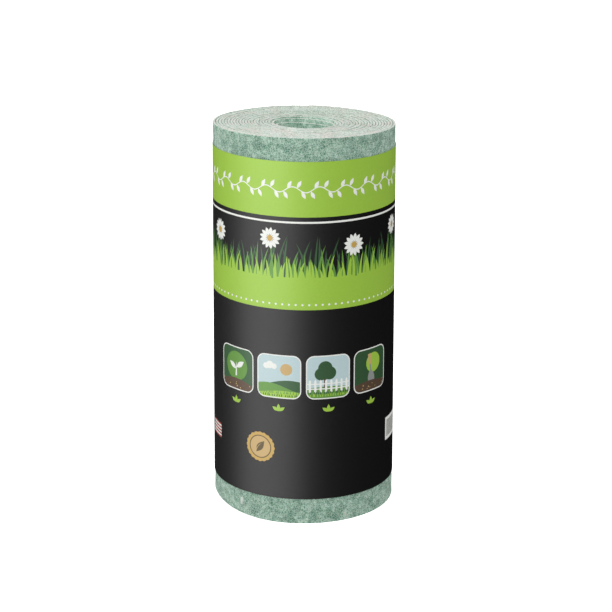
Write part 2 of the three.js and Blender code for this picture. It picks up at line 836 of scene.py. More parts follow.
    def stations(self) -> list[tuple[float, bool]]:
        """Places along the strip from its inner end to its tail.

        Returns:
            Each place's turn number, and whether the outer face shows there and so has its rows of corners.
        """
        inner_turns = self.inner_end - 1
        coarse = round(inner_turns * self.stations_inside)
        inside = [(self.inner_end - inner_turns * step / coarse, False) for step in range(coarse)]
        outside = [(1 - step / self.stations_outside, True) for step in range(self.stations_outside + 1)]
        return inside + outside

    def build(self) -> bpy.types.Object:
        """Makes the wound strip as one closed mesh.

        Returns:
            The dressed object.
        """
        draft = MeshDraft()
        rows = self.face_rows()
        edge = len(self.EDGE_PROFILE)
        previous: list[int] = []
        previous_shows = False
        for turn, shows in self.stations():
            start = len(draft.corners)
            draft.corners += self.section(turn, rows if shows else [])
            loop = list(range(start, len(draft.corners)))
            if not previous:
                draft.add_face(tuple(loop), self.CUT_EDGE)
            elif shows == previous_shows:
                self.join(draft, previous, loop)
            else:
                # The first fine section: its rows all meet the one long side of the last coarse section.
                self.join(draft, previous, loop[:edge] + loop[-edge:], skip=edge - 1)
                long_side = loop[edge - 1 : len(loop) - edge + 1]
                draft.add_face((previous[edge - 1], previous[edge], *reversed(long_side)))
            previous, previous_shows = loop, shows
        draft.add_face(tuple(reversed(previous)), self.CUT_EDGE)
        # The side that is wound inwards is drawn in a paler copy of the face's felt, and it is what shows on
        # the bore's wall.
        back = AirlaidFeltFace(
            "airlaid_wood_fibre_felt_back", ground="7fae95", clump="c9dfd0", deep_patch="5d8f75"
        )
        return draft.make("wound_mat", [AirlaidFeltFace().build(), SlitFeltEdge().build(), back.build()])

    def join(self, draft: MeshDraft, before: list[int], after: list[int], skip: int = -1) -> None:
        """Joins two sections of the strip with a band of faces.

        Args:
            draft: the mesh being made.
            before: corner numbers of the section nearer the inner end.
            after: corner numbers of the next one, as many.
            skip: the number of the side that is left open.
        """
        edge = len(self.EDGE_PROFILE)
        count = len(before)
        for side in range(count):
            if side == skip:
                continue
            following = (side + 1) % count
            on_upper_edge = 0 < side < edge - 2
            on_foot_edge = count - edge < side < count - 2
            slot = self.CUT_EDGE if on_upper_edge or on_foot_edge else self.FACE
            slot = self.BACK if side == count - 1 else slot
            draft.add_face((before[side], before[following], after[following], after[side]), slot)


@dataclass
class LooseFibres:
    """Single wood fibres that stand a little off the felt where it shows: on both bands and the upper end."""

    mat: WoundMat
    on_bands: int = 2600
    on_upper_end: int = 1300
    # Least and most of each, mm: length, thickness, and how far the middle stands off the felt.
    length: tuple[float, float] = (2.5, 7.0)
    thickness: tuple[float, float] = (0.10, 0.20)
    lift: tuple[float, float] = (0.02, 0.22)
    # Most that the middle is bent aside, how deep the ends lie in the felt, and how thin they are.
    bend: float = 0.9
    end_depth: float = 0.08
    end_thickness: float = 0.45
    pale_share: float = 0.6
    # Where across the strip those on the upper end lie, as shares of its thickness, and how deep those on the
    # bands lie in the felt.
    inset: tuple[float, float] = (0.25, 0.75)
    band_depth: float = 0.2
    # Fibres on the bands keep this far from the upper rim and from the foot.
    rim_margin: float = 1.5
    foot_margin: float = 4.2
    seed: int = 11

    SIDES = 3
    STEPS = 4
    PALE, GREEN = 0, 1

    def build(self) -> bpy.types.Object:
        """Makes all the fibres as one mesh.

        Returns:
            The dressed object.
        """
        source = random.Random(self.seed)
        draft = MeshDraft()
        mat = self.mat
        bare_above = mat.height - mat.label_top
        bare_below = mat.label_bottom
        for _ in range(self.on_bands):
            angle = source.uniform(-math.pi, math.pi)
            along_bands = source.uniform(0, bare_above + bare_below)
            height = along_bands if along_bands < bare_below else mat.label_top + along_bands - bare_below
            height = min(mat.height - self.rim_margin, max(self.foot_margin, height))
            normal = Vector(outward(angle))
            surface = Vector(around(self.outside_radius(angle), angle, height))
            self.add_fibre(draft, source, surface, normal)
        for _ in range(self.on_upper_end):
            turn = source.uniform(0.0, mat.inner_end - mat.loose_turns)
            angle = mat.angle(turn)
            inset = source.uniform(*self.inset) * mat.felt_thickness
            height = mat.height + mat.tilt(angle) - mat.stagger(turn, 1)
            surface = Vector(around(mat.face_radius(turn) - inset, angle, height))
            self.add_fibre(draft, source, surface, Vector((0, 0, 1)))
        materials = [
            LooseFibre("pale_wood_fibre", "c6d6ca", "a8c0b0").build(),
            LooseFibre("green_wood_fibre", "7fa590", "94b5a2").build(),
        ]
        return draft.make("loose_fibres", materials)

    def outside_radius(self, angle: float) -> float:
        """Radius of the face that shows at an angle, mm."""
        turn = (self.mat.tail_angle - angle) / (2 * math.pi) % 1.0
        return self.mat.face_radius(turn) - self.band_depth

    def add_fibre(self, draft: MeshDraft, source: random.Random, surface: Vector, normal: Vector) -> None:
        """Adds one thin, bent, tapered fibre that lies on a surface with both ends in it.

        Args:
            draft: the mesh being made.
            source: the seeded random source.
            surface: the middle of the fibre, metres.
            normal: the surface's unit normal there.
        """
        length = source.uniform(*self.length)
        thickness = source.uniform(*self.thickness)
        side = normal.orthogonal()
        heading = source.uniform(0, 2 * math.pi)
        along = (side * math.cos(heading) + normal.cross(side) * math.sin(heading)).normalized()
        across = normal.cross(along)
        bend = source.uniform(-self.bend, self.bend)
        lift = source.uniform(*self.lift)
        slot = self.PALE if source.random() < self.pale_share else self.GREEN
        start = len(draft.corners)
        for step in range(self.STEPS):
            share = 2 * step / (self.STEPS - 1) - 1
            arch = 1 - share * share
            sink = surface_drop(surface, along, share * length / 2, normal)
            centre = (
                surface
                + along * (share * length / 2 * MM)
                + across * (bend * arch * MM)
                + normal * ((lift * arch - self.end_depth) * MM - sink)
            )
            radius = thickness / 2 * (self.end_thickness + (1 - self.end_thickness) * arch) * MM
            for corner in range(self.SIDES):
                turn = 2 * math.pi * corner / self.SIDES
                offset = across * (math.cos(turn) * radius) + normal * (math.sin(turn) * radius)
                draft.corners.append(tuple(centre + offset))
        for step in range(self.STEPS - 1):
            ring = start + step * self.SIDES
            for corner in range(self.SIDES):
                following = (corner + 1) % self.SIDES
                near, far = ring + corner, ring + following
                draft.add_face((near, near + self.SIDES, far + self.SIDES, far), slot)
        last = start + (self.STEPS - 1) * self.SIDES
        draft.add_face((start, start + 1, start + 2), slot)
        draft.add_face((last + 2, last + 1, last), slot)


def surface_drop(surface: Vector, along: Vector, distance: float, normal: Vector) -> float:
    """How far the round surface falls away from its tangent at a distance along it.

    Args:
        surface: a place on the surface, metres.
        along: unit tangent.
        distance: mm along the tangent.
        normal: unit normal; an upward one means a flat end.

    Returns:
        The fall in metres.
    """
    if abs(normal.z) > 0.5:
        return 0.0
    radius = math.hypot(surface.x, surface.y)
    level = math.hypot(along.x, along.y) * distance * MM
    return level * level / (2 * radius)


@dataclass(frozen=True)
class Fleck:
    """One spindle in the felt: its angle from the front, its height, its heading from level, and its size."""

    angle: float
    height: float
    heading: float
    length: float
    width: float
    slot: int


@dataclass
class SeedFlecks:
    """Grass seeds that lie in the felt and show as pale husks here and there, and one knot of pulp."""

    mat: WoundMat
    count: int = 26
    length: float = 5.6
    width: float = 1.5
    # Least and most of a husk's size, as a share of the above.
    scale: tuple[float, float] = (0.6, 0.85)
    # Husks keep this far from the roll's ends and from the label.
    end_margin: float = 5.0
    label_margin: float = 4.0
    # How fast a fleck tapers, how flat it is, and how deep its middle lies in the felt.
    taper: float = 0.75
    flatness: float = 0.4
    depth: float = 0.2
    seed: int = 5

    SIDES = 8
    STEPS = 7
    HUSK, PULP = 0, 1
    # The undyed knot of pulp that shows plainly in the lower band.
    KNOT = Fleck(math.radians(-42), 17.8, math.radians(84), length=11.0, width=5.6, slot=PULP)

    def build(self) -> bpy.types.Object:
        """Makes all the seeds as one mesh.

        Returns:
            The dressed object.
        """
        source = random.Random(self.seed)
        draft = MeshDraft()
        mat = self.mat
        self.add_fleck(draft, self.KNOT)
        for _ in range(self.count - 1):
            angle = source.uniform(-math.pi, math.pi)
            if source.random() < 0.5:
                height = source.uniform(self.end_margin, mat.label_bottom - self.label_margin)
            else:
                height = source.uniform(mat.label_top + self.label_margin, mat.height - self.end_margin)
            heading = source.uniform(0, math.pi)
            scale = source.uniform(*self.scale)
            husk = Fleck(angle, height, heading, self.length * scale, self.width * scale, self.HUSK)
            self.add_fleck(draft, husk)
        materials = [
            LooseFibre("dry_grass_seed_husk", "cdd0bd", "b3bfa8").build(),
            LooseFibre("undyed_wood_pulp", "dbe3da", "c6d3c8").build(),
        ]
        return draft.make("seed_husks", materials)

    def add_fleck(self, draft: MeshDraft, fleck: Fleck) -> None:
        """Adds one fleck, half sunk in the felt.

        Args:
            draft: the mesh being made.
            fleck: its place, heading, size and material.
        """
        slot = fleck.slot
        normal = Vector(outward(fleck.angle))
        level = Vector((math.cos(fleck.angle), math.sin(fleck.angle), 0))
        along = level * math.cos(fleck.heading) + Vector((0, 0, 1)) * math.sin(fleck.heading)
        across = normal.cross(along)
        centre = Vector(around(self.mat.outer_radius - self.depth, fleck.angle, fleck.height))
        first = len(draft.corners)
        half = fleck.length / 2
        draft.corners.append(tuple(centre - along * (half * MM)))
        for step in range(1, self.STEPS):
            share = 2 * step / self.STEPS - 1
            girth = fleck.width / 2 * (1 - share * share) ** self.taper
            for corner in range(self.SIDES):
                turn = 2 * math.pi * corner / self.SIDES
                rise = math.sin(turn) * girth * self.flatness
                offset = across * (math.cos(turn) * girth * MM) + normal * (rise * MM)
                draft.corners.append(tuple(centre + along * (share * half * MM) + offset))
        draft.corners.append(tuple(centre + along * (half * MM)))
        last = len(draft.corners) - 1
        for corner in range(self.SIDES):
            following = (corner + 1) % self.SIDES
            draft.add_face((first, first + 1 + corner, first + 1 + following), slot)
            for ring in range(self.STEPS - 2):
                low = first + 1 + ring * self.SIDES
                high = low + self.SIDES
                draft.add_face((low + corner, high + corner, high + following, low + following), slot)
            top = last - self.SIDES
            draft.add_face((top + corner, last, top + following), slot)


@dataclass(frozen=True)
class PrintedShape:
    """One flat shape of ink. Inside a window, only what lies over the window's shape prints."""

    ink: Ink
    outline: list[Point]
    window: int = -1


@dataclass
class LabelArtwork:
    """The generic print of the label, flat, in mm: across from the front's middle and up from the lower edge.

    Shapes that come later print over earlier ones.
    """

    width: float
    height: float
    seen_width: float
    shapes: list[PrintedShape] = field(default_factory=list)
    seed: int = 3

    top_band: float = 63.2
    rule_gap: float = 5.0
    rule_width: float = 2.2
    lawn_bottom: float = 231.0
    lawn_top: float = 269.0
    tile_size: float = 50.0
    tile_count: int = 4
    tile_pitch: float = 58.0
    tile_centre: float = 150.0
    tile_corner: float = 8.0
    tile_rim: float = 1.3

    def paint(self, ink: Ink, outline: list[Point], window: int = -1) -> int:
        """Prints one shape, kept on the sheet and turned anticlockwise, as the cutting needs.

        Args:
            ink: what it is printed in.
            outline: its corners in order.
            window: number of the shape that it is seen through, if any.

        Returns:
            The shape's number.
        """
        edge = self.width / 2
        kept = [(min(edge, max(-edge, u)), v) for u, v in outline]
        twice_area = sum(a[0] * b[1] - b[0] * a[1] for a, b in zip(kept, kept[1:] + kept[:1]))
        self.shapes.append(PrintedShape(ink, kept if twice_area > 0 else kept[::-1], window))
        return len(self.shapes) - 1

    def compose(self) -> None:
        """Lays out the whole print."""
        self.paint(Ink.CHARCOAL, box(-self.width / 2, 0, self.width / 2, self.height))
        self.top_border()
        self.lawn()
        self.tiles()
        self.sprigs()
        self.rosette(-52.0, 61.0)
        self.striped_patch(-133.5, 62.0)
        self.bar_patch(139.0, 66.0)

    def top_border(self) -> None:
        """Prints the lime band along the upper edge, with a leafy vine in it and a thin rule below it."""
        band_bottom = self.height - self.top_band
        half = self.width / 2
        self.paint(Ink.LIME, box(-half, band_bottom, half, self.height))
        rule_top = band_bottom - self.rule_gap
        self.paint(Ink.WHITE, box(-half, rule_top - self.rule_width, half, rule_top))
        middle = band_bottom + self.top_band / 2
        waves, points_a_wave = 22, 10
        wave = self.seen_width / waves
        swing = 3.4
        stem_width = 1.2
        leaf_lean, leaf_length, leaf_width = 62, 10.0, 4.2
        leaves = ((0.06, 1), (0.42, 1), (0.58, -1), (0.92, -1))
        for index in range(waves):
            left = half - self.seen_width + index * wave
            places = [left + wave * step / points_a_wave for step in range(points_a_wave + 1)]
            line = [(u, middle + swing * math.sin(2 * math.pi * (u - left) / wave)) for u in places]
            upper = [(u, v + stem_width / 2) for u, v in line]
            lower = [(u, v - stem_width / 2) for u, v in reversed(line)]
            self.paint(Ink.WHITE, upper + lower)
            for share, side in leaves:
                stalk = (left + wave * share, middle + swing * math.sin(2 * math.pi * share))
                self.paint(Ink.WHITE, leaf(stalk, math.radians(leaf_lean * side), leaf_length, leaf_width))

    def lawn(self) -> None:
        """Prints the lime stripe round the middle, with grass and daisies growing out of it."""
        source = random.Random(self.seed)
        half = self.width / 2
        first = half - self.seen_width + 3.0
        last = half - 3.0
        for ink, spacing, least, most in (
            (Ink.DEEP_GREEN, 6.2, 30, 52),
            (Ink.LEAF_GREEN, 5.2, 22, 42),
            (Ink.LIME, 4.4, 10, 30),
        ):
            count = int((last - first) / spacing)
            for index in range(count):
                u = first + spacing * (index + source.uniform(0.1, 0.9))
                tall = source.uniform(least, most)
                tip = min(last + 2.5, max(first - 2.5, u + source.uniform(-0.28, 0.28) * tall))
                self.paint(ink, blade((u, self.lawn_top - 2), source.uniform(3.4, 5.0), tall, tip - u))
        self.paint(Ink.LIME, box(-half, self.lawn_bottom, half, self.lawn_top))
        dots = 88
        for index in range(dots):
            u = half - self.seen_width * (index + 0.5) / dots
            self.paint(Ink.WHITE, disc((u, self.lawn_bottom + 6.0), 1.25, 10))
        daisies = 8
        for index in range(daisies):
            u = half - self.seen_width * (index + 0.5) / daisies + source.uniform(-9, 9)
            v = self.lawn_top + source.uniform(30, 46)
            self.daisy((u, v), source.uniform(10.5, 13.0), self.lawn_top)

    def daisy(self, centre: Point, radius: float, foot: float) -> None:
        """Prints a daisy with its stem.

        Args:
            centre: the middle of the flower.
            radius: how far its petals reach.
            foot: height of the stem's foot.
        """
        u, v = centre
        self.paint(Ink.LEAF_GREEN, blade((u + 3, foot - 2), 2.6, v - foot, -3.0))
        petals = 13
        for petal in range(petals):
            heading = 2 * math.pi * petal / petals
            base = (u + 1.2 * math.cos(heading), v + 1.2 * math.sin(heading))
            self.paint(Ink.WHITE, leaf(base, heading, radius, radius * 0.36, blunt=True))
        self.paint(Ink.GOLD, disc(centre, radius * 0.3, 16))

    def tiles(self) -> None:
        """Prints the row of four picture tiles across the front."""
        pictures = (self.seedling_picture, self.hill_picture, self.tree_picture, self.trowel_picture)
        rim = self.tile_size + 2 * self.tile_rim
        for index, picture in enumerate(pictures):
            centre = (self.tile_middle(index), self.tile_centre)
            self.paint(Ink.WHITE, round_box(centre, rim, rim, self.tile_corner + self.tile_rim))
            sky = round_box(centre, self.tile_size, self.tile_size, self.tile_corner)
            picture(centre, self.paint(Ink.SKY, sky))

    def tile_middle(self, index: int) -> float:
        """How far to the right of the front's middle a picture tile stands, mm."""
        return (index - (self.tile_count - 1) / 2) * self.tile_pitch

    def seedling_picture(self, centre: Point, window: int) -> None:
        """Prints a seedling in its mound of soil.

        Args:
            centre: the middle of the tile.
            window: number of the tile's shape.
        """
        u, v = centre
        half = self.tile_size / 2
        self.paint(Ink.DEEP_GREEN, box(u - half, v - half, u + half, v + half), window)
        self.paint(Ink.LEAF_GREEN, disc((u, v + 3), 17.5, 32), window)
        self.paint(Ink.SOIL, hill(u, v - 12, half + 1, 5.0, v - half - 1), window)
        self.crumbs(centre, window)
        self.paint(Ink.WHITE, blade((u, v - 9), 2.6, 17, 0.8), window)
        self.paint(Ink.WHITE, leaf((u + 0.5, v + 1), math.radians(38), 15, 6.4), window)
        self.paint(Ink.WHITE, leaf((u + 0.3, v - 1), math.radians(146), 14, 6.0), window)

    def hill_picture(self, centre: Point, window: int) -> None:
        """Prints a sun over two hills.

        Args:
            centre: the middle of the tile.
            window: number of the tile's shape.
        """
        u, v = centre
        half = self.tile_size / 2
        foot = v - half - 1
        self.paint(Ink.STRAW, disc((u + 9, v + 9), 7.0, 28), window)
        for du, dv, radius in ((-15, 12, 3.6), (-10.5, 13.5, 4.6), (-5.5, 12, 3.4)):
            self.paint(Ink.WHITE, disc((u + du, v + dv), radius, 20), window)
        self.paint(Ink.DEEP_GREEN, hill(u + 12, v - 4, half + 8, 7.0, foot), window)
        self.paint(Ink.LEAF_GREEN, hill(u - 13, v - 8, half + 6, 8.0, foot), window)
        self.paint(Ink.LIME, hill(u + 6, v - 17, half + 14, 5.0, foot), window)
        self.tufts((u, v - 20.5), Ink.LEAF_GREEN, window)
        self.tufts((u + 1.5, v - 24), Ink.DEEP_GREEN, window)

    def tree_picture(self, centre: Point, window: int) -> None:
        """Prints a round tree behind a picket fence.

        Args:
            centre: the middle of the tile.
            window: number of the tile's shape.
        """
        u, v = centre
        half = self.tile_size / 2
        foot = v - half - 1
        self.paint(Ink.LEAF_GREEN, hill(u, v - 11, half + 4, 2.5, foot), window)
        self.paint(Ink.SOIL, box(u - 5.6, v - 13, u - 2.6, v + 2), window)
        for du, dv, radius in ((-9, 4, 7.5), (1, 5, 8.0), (-4, 11, 8.5)):
            self.paint(Ink.DEEP_GREEN, disc((u + du, v + dv), radius, 24), window)
        for rail in (-14.5, -8.5):
            self.paint(Ink.WHITE, box(u - half, v + rail, u + half, v + rail + 1.3), window)
        pickets = 8
        for index in range(pickets):
            left = u - half + self.tile_size * (index + 0.3) / pickets
            right = left + 2.6
            top = v - 4.5
            point = ((left + right) / 2, top + 2)
            self.paint(Ink.WHITE, [(left, v - 18), (right, v - 18), (right, top), point, (left, top)], window)
        self.tufts((u, v - 20), Ink.DEEP_GREEN, window)
        self.tufts((u + 2, v - 23), Ink.LIME, window)

    def trowel_picture(self, centre: Point, window: int) -> None:
        """Prints a hand trowel standing in soil.

        Args:
            centre: the middle of the tile.
            window: number of the tile's shape.
        """
        u, v = centre
        half = self.tile_size / 2
        self.paint(Ink.DEEP_GREEN, box(u - half, v - half, u + half, v + half), window)
        self.paint(Ink.LIME, disc((u + 4, v + 8), 12.0, 28), window)
        self.paint(Ink.GREY, leaf((u + 2, v - 23), math.radians(97), 25, 11.5), window)
        self.paint(Ink.GREY, tilted_box((u - 1, v + 3), 2.2, 10, math.radians(7)), window)
        self.paint(Ink.STRAW, tilted_box((u - 2, v + 13), 5.0, 13, math.radians(7)), window)
        self.paint(Ink.SOIL, hill(u - 2, v - 13, half + 2, 3.5, v - half - 1), window)
        self.crumbs(centre, window)

    def crumbs(self, centre: Point, window: int) -> None:
        """Prints crumbs over the soil at the foot of a picture.

        Args:
            centre: the middle of the tile.
            window: number of the tile's shape.
        """
        source = random.Random(int(centre[0]) + 7)
        crumb_count = 26
        for index in range(crumb_count):
            u = centre[0] + source.uniform(-24, 24)
            v = centre[1] - source.uniform(16.5, 24)
            ink = Ink.STRAW if index % 3 == 0 else Ink.OLIVE
            self.paint(ink, disc((u, v), source.uniform(0.5, 1.0), 6), window)

    def tufts(self, centre: Point, ink: Ink, window: int) -> None:
        """Prints a row of short grass across a picture.

        Args:
            centre: the middle of the row's foot.
            ink: the grass's colour.
            window: number of the tile's shape.
        """
        source = random.Random(int(centre[1]) + 7)
        blades = 17
        left = centre[0] - self.tile_size / 2
        for index in range(blades):
            u = left + self.tile_size * (index + source.uniform(0.2, 0.8)) / blades
            tall = source.uniform(2.5, 4.5)
            lean = source.uniform(-1.2, 1.2)
            self.paint(ink, blade((u, centre[1]), 1.5, tall, lean), window)

    def sprigs(self) -> None:
        """Prints a small sprig of three leaves under each picture tile."""
        drop = 17.0
        v = self.tile_centre - self.tile_size / 2 - drop
        for index in range(self.tile_count):
            for heading in (35, 90, 145):
                self.paint(Ink.LIME, leaf((self.tile_middle(index), v), math.radians(heading), 9.0, 4.0))

    def rosette(self, u: float, v: float) -> None:
        """Prints a gold scalloped disc with a leaf on it.

        Args:
            u: how far right of the front's middle it stands.
            v: its height above the label's lower edge.
        """
        self.paint(Ink.GOLD, scallop((u, v), 17.5, 20, 1.0))
        self.paint(Ink.OLIVE, disc((u, v), 14.2, 40))
        self.paint(Ink.STRAW, disc((u, v), 13.0, 40))
        self.paint(Ink.OLIVE, leaf((u - 5.5, v - 7.5), math.radians(54), 18.5, 8.0))
        self.paint(Ink.STRAW, blade((u - 5.8, v - 8.4), 1.4, 14.0, 9.0))

    def striped_patch(self, u: float, v: float) -> None:
        """Prints a small patch of red and white stripes.

        Args:
            u: how far right of the front's middle it stands.
            v: its height above the label's lower edge.
        """
        wide, tall, stripes = 27.0, 18.0, 9
        for index in range(stripes):
            low = v - tall / 2 + tall * index / stripes
            ink = Ink.RED if index % 2 == 0 else Ink.WHITE
            self.paint(ink, box(u - wide / 2, low, u + wide / 2, low + tall / stripes))

    def bar_patch(self, u: float, v: float) -> None:
        """Prints a white patch with even upright bars, which stand for nothing.

        Args:
            u: how far right of the front's middle it stands.
            v: its height above the label's lower edge.
        """
        wide, tall, corner = 40.0, 28.6, 1.2
        bars, bar_width, bar_half_height = 15, 1.1, 10.5
        barred_width = 33.0
        self.paint(Ink.WHITE, round_box((u, v), wide, tall, corner))
        for index in range(bars):
            left = u - barred_width / 2 + barred_width * (index + 0.25) / bars
            self.paint(Ink.CHARCOAL, box(left, v - bar_half_height, left + bar_width, v + bar_half_height))


def box(left: float, bottom: float, right: float, top: float) -> list[Point]:
    """Outline of an upright rectangle."""
    return [(left, bottom), (right, bottom), (right, top), (left, top)]


def disc(centre: Point, radius: float, points: int) -> list[Point]:
    """Outline of a disc with a number of points."""
    turns = [2 * math.pi * index / points for index in range(points)]
    return [(centre[0] + radius * math.cos(t), centre[1] + radius * math.sin(t)) for t in turns]


def scallop(centre: Point, radius: float, lobes: int, depth: float) -> list[Point]:
    """Outline of a disc with a scalloped rim.

    Args:
        centre: its middle.
        radius: its radius in the notches between the lobes.
        lobes: how many lobes its rim has.
        depth: how far they stand out.

    Returns:
        The outline.
    """
    points_a_lobe = 8
    count = lobes * points_a_lobe
    outline = []
    for index in range(count):
        turn = 2 * math.pi * index / count
        reach = radius + depth * abs(math.cos(lobes * turn / 2))
        outline.append((centre[0] + reach * math.cos(turn), centre[1] + reach * math.sin(turn)))
    return outline


def round_box(centre: Point, wide: float, tall: float, corner: float) -> list[Point]:
    """Outline of a rectangle with rounded corners.

    Args:
        centre: its middle.
        wide: its width.
        tall: its height.
        corner: the radius of its corners.

    Returns:
        The outline.
    """
    steps = 5
    outline = []
    quarters = ((1, 1), (-1, 1), (-1, -1), (1, -1))
    for quarter, (across, up) in enumerate(quarters):
        u = centre[0] + across * (wide / 2 - corner)
        v = centre[1] + up * (tall / 2 - corner)
        for step in range(steps + 1):
            turn = math.pi / 2 * (quarter + step / steps)
            outline.append((u + corner * math.cos(turn), v + corner * math.sin(turn)))
    return outline


def turned(outline: list[Point], heading: float, place: Point) -> list[Point]:
    """Turns an outline about its own zero point and moves that point to a place.

    Args:
        outline: the outline.
        heading: radians, anticlockwise.
        place: where the zero point goes.

    Returns:
        The outline there.
    """
    cos, sin = math.cos(heading), math.sin(heading)
    return [(place[0] + u * cos - v * sin, place[1] + u * sin + v * cos) for u, v in outline]


def tilted_box(centre: Point, wide: float, tall: float, tilt: float) -> list[Point]:
    """Outline of a rectangle that leans to the left.

    Args:
        centre: its middle.
        wide: its width.
        tall: its height.
        tilt: radians from upright.

    Returns:
        The outline.
    """
    return turned(box(-wide / 2, -tall / 2, wide / 2, tall / 2), tilt, centre)


def leaf(base: Point, heading: float, long: float, wide: float, blunt: bool = False) -> list[Point]:
    """Outline of a leaf or petal.

    Args:
        base: its stalk end.
        heading: radians from level.
        long: its length.
        wide: its greatest width.
        blunt: whether its far end is round, as on a petal.

    Returns:
        The outline.
    """
    steps = 7
    # A petal is widest beyond its middle; a leaf draws in at both tips.
    widest_late, drawn_in = 1.5, 1.15
    edge = []
    for step in range(1, steps):
        share = step / steps
        bulge = math.sin(math.pi * share**widest_late) if blunt else math.sin(math.pi * share) ** drawn_in
        edge.append((share * long, bulge * wide / 2))
    local = [(0.0, 0.0)] + edge + [(long, 0.0)] + [(x, -y) for x, y in reversed(edge)]
    local.reverse()
    return turned(local, heading, base)


def blade(foot: Point, wide: float, tall: float, lean: float) -> list[Point]:
    """Outline of a blade of grass that tapers and bends towards its tip.

    Args:
        foot: the middle of its foot.
        wide: its width there.
        tall: its height.
        lean: how far its tip stands to the right of its foot.

    Returns:
        The outline.
    """
    steps = 6
    taper = 0.7
    left, right = [], []
    for step in range(steps):
        share = step / steps
        middle = foot[0] + lean * share * share
        half = wide / 2 * (1 - share) ** taper
        left.append((middle - half, foot[1] + tall * share))
        right.append((middle + half, foot[1] + tall * share))
    tip = (foot[0] + lean, foot[1] + tall)
    return right + [tip] + list(reversed(left))


def hill(crest_u: float, crest_v: float, half_width: float, rise: float, foot: float) -> list[Point]:
    """Outline of a hill: one wave of a cosine over a straight foot.

    Args:
        crest_u: how far right its crest is.
        crest_v: how high its crest is.
        half_width: half its width, before it is stretched past its window.
        rise: its height over that width.
        foot: height of its straight foot.

    Returns:
        The outline.
    """
    steps = 18
    stretch = 1.6
    crest = []
    for step in range(steps + 1):
        share = 2 * step / steps - 1
        drop = rise * (1 - math.cos(math.pi * share)) / 2 * stretch
        crest.append((crest_u + share * half_width * stretch, crest_v - drop))
    left, right = crest[0][0], crest[-1][0]
    return [(left, foot)] + [(right, foot)] + list(reversed(crest))


